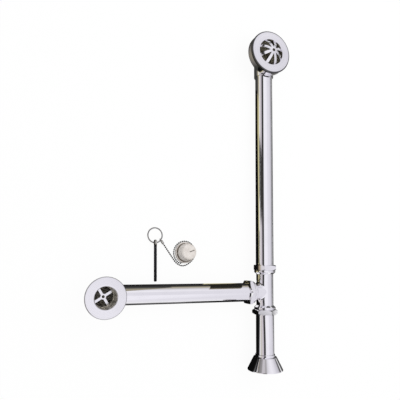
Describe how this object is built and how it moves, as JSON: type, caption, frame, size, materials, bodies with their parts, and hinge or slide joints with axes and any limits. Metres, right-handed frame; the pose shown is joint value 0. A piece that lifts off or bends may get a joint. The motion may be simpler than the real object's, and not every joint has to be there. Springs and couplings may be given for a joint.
{
  "type": "bath waste and overflow",
  "caption": "Exposed chrome waste and overflow for a free-standing bath: plate with domed grille, tubes, tee with slip nuts, waste flange, floor bell, and a plug on a bead chain.",
  "frame": {"origin": "centre of the tail tube's outlet", "axes": "+Y along the overflow tube, -X along the waste tube, +Z the way both flanges face; the set lies on its back, on the floor that the bell and both elbows touch"},
  "size_m": [0.432, 0.7362, 0.087],
  "materials": {
    "chrome": "polished",
    "plated_steel": "dull plated",
    "black_rubber": "matte",
    "white_nylon": "satin",
    "white_rubber": "satin"
  },
  "bodies": {
    "tee": {"tee": "chrome", "eye_bolt": "plated_steel", "pull_ring": "chrome", "ring_coupling": "plated_steel", "bead_chain": "plated_steel", "plug_coupling": "plated_steel", "plug": "white_rubber", "plug_eye": "plated_steel"},
    "overflow_nut": {"overflow_slip_nut": "chrome"},
    "overflow_seal": {"overflow_slip_washer": "black_rubber", "overflow_friction_ring": "white_nylon"},
    "overflow_arm": {"overflow_tube": "chrome", "overflow_head": "chrome", "overflow_gasket": "black_rubber", "overflow_faceplate": "chrome"},
    "waste_nut": {"waste_slip_nut": "chrome"},
    "waste_seal": {"waste_slip_washer": "black_rubber", "waste_friction_ring": "white_nylon"},
    "waste_arm": {"waste_tube": "chrome", "waste_shoe": "chrome", "waste_gasket": "black_rubber", "waste_flange": "chrome"},
    "tail_nut": {"tail_slip_nut": "chrome"},
    "tail_seal": {"tail_slip_washer": "black_rubber", "tail_friction_ring": "white_nylon"},
    "tail_arm": {"tail_tube": "chrome"},
    "escutcheon": {"floor_escutcheon": "chrome"}
  },
  "joints": [
    {"name": "overflow_nut_turn", "type": "hinge", "parent": "tee", "child": "overflow_nut", "pos_m": [0, 0.153, 0], "axis": [0, 1, 0], "continuous": true},
    {"name": "overflow_swivel", "type": "hinge", "parent": "tee", "child": "overflow_seal", "pos_m": [0, 0.153, 0], "axis": [0, 1, 0], "continuous": true},
    {"name": "overflow_tube_slide", "type": "slide", "parent": "overflow_seal", "child": "overflow_arm", "axis": [0, 1, 0], "range_m": [-0.0008, 0.006]},
    {"name": "waste_nut_turn", "type": "hinge", "parent": "tee", "child": "waste_nut", "pos_m": [0, 0.153, 0], "axis": [-1, 0, 0], "continuous": true},
    {"name": "waste_swivel", "type": "hinge", "parent": "tee", "child": "waste_seal", "pos_m": [0, 0.153, 0], "axis": [-1, 0, 0], "continuous": true},
    {"name": "waste_tube_slide", "type": "slide", "parent": "waste_seal", "child": "waste_arm", "axis": [-1, 0, 0], "range_m": [-0.0008, 0.006]},
    {"name": "tail_nut_turn", "type": "hinge", "parent": "tee", "child": "tail_nut", "pos_m": [0, 0.153, 0], "axis": [0, -1, 0], "continuous": true},
    {"name": "tail_swivel", "type": "hinge", "parent": "tee", "child": "tail_seal", "pos_m": [0, 0.153, 0], "axis": [0, -1, 0], "continuous": true},
    {"name": "tail_tube_slide", "type": "slide", "parent": "tail_seal", "child": "tail_arm", "axis": [0, -1, 0], "range_m": [-0.0008, 0.006]},
    {"name": "escutcheon_slide", "type": "slide", "parent": "tail_arm", "child": "escutcheon", "axis": [0, 1, 0], "range_m": [-0.015, 0.075]}
  ]
}
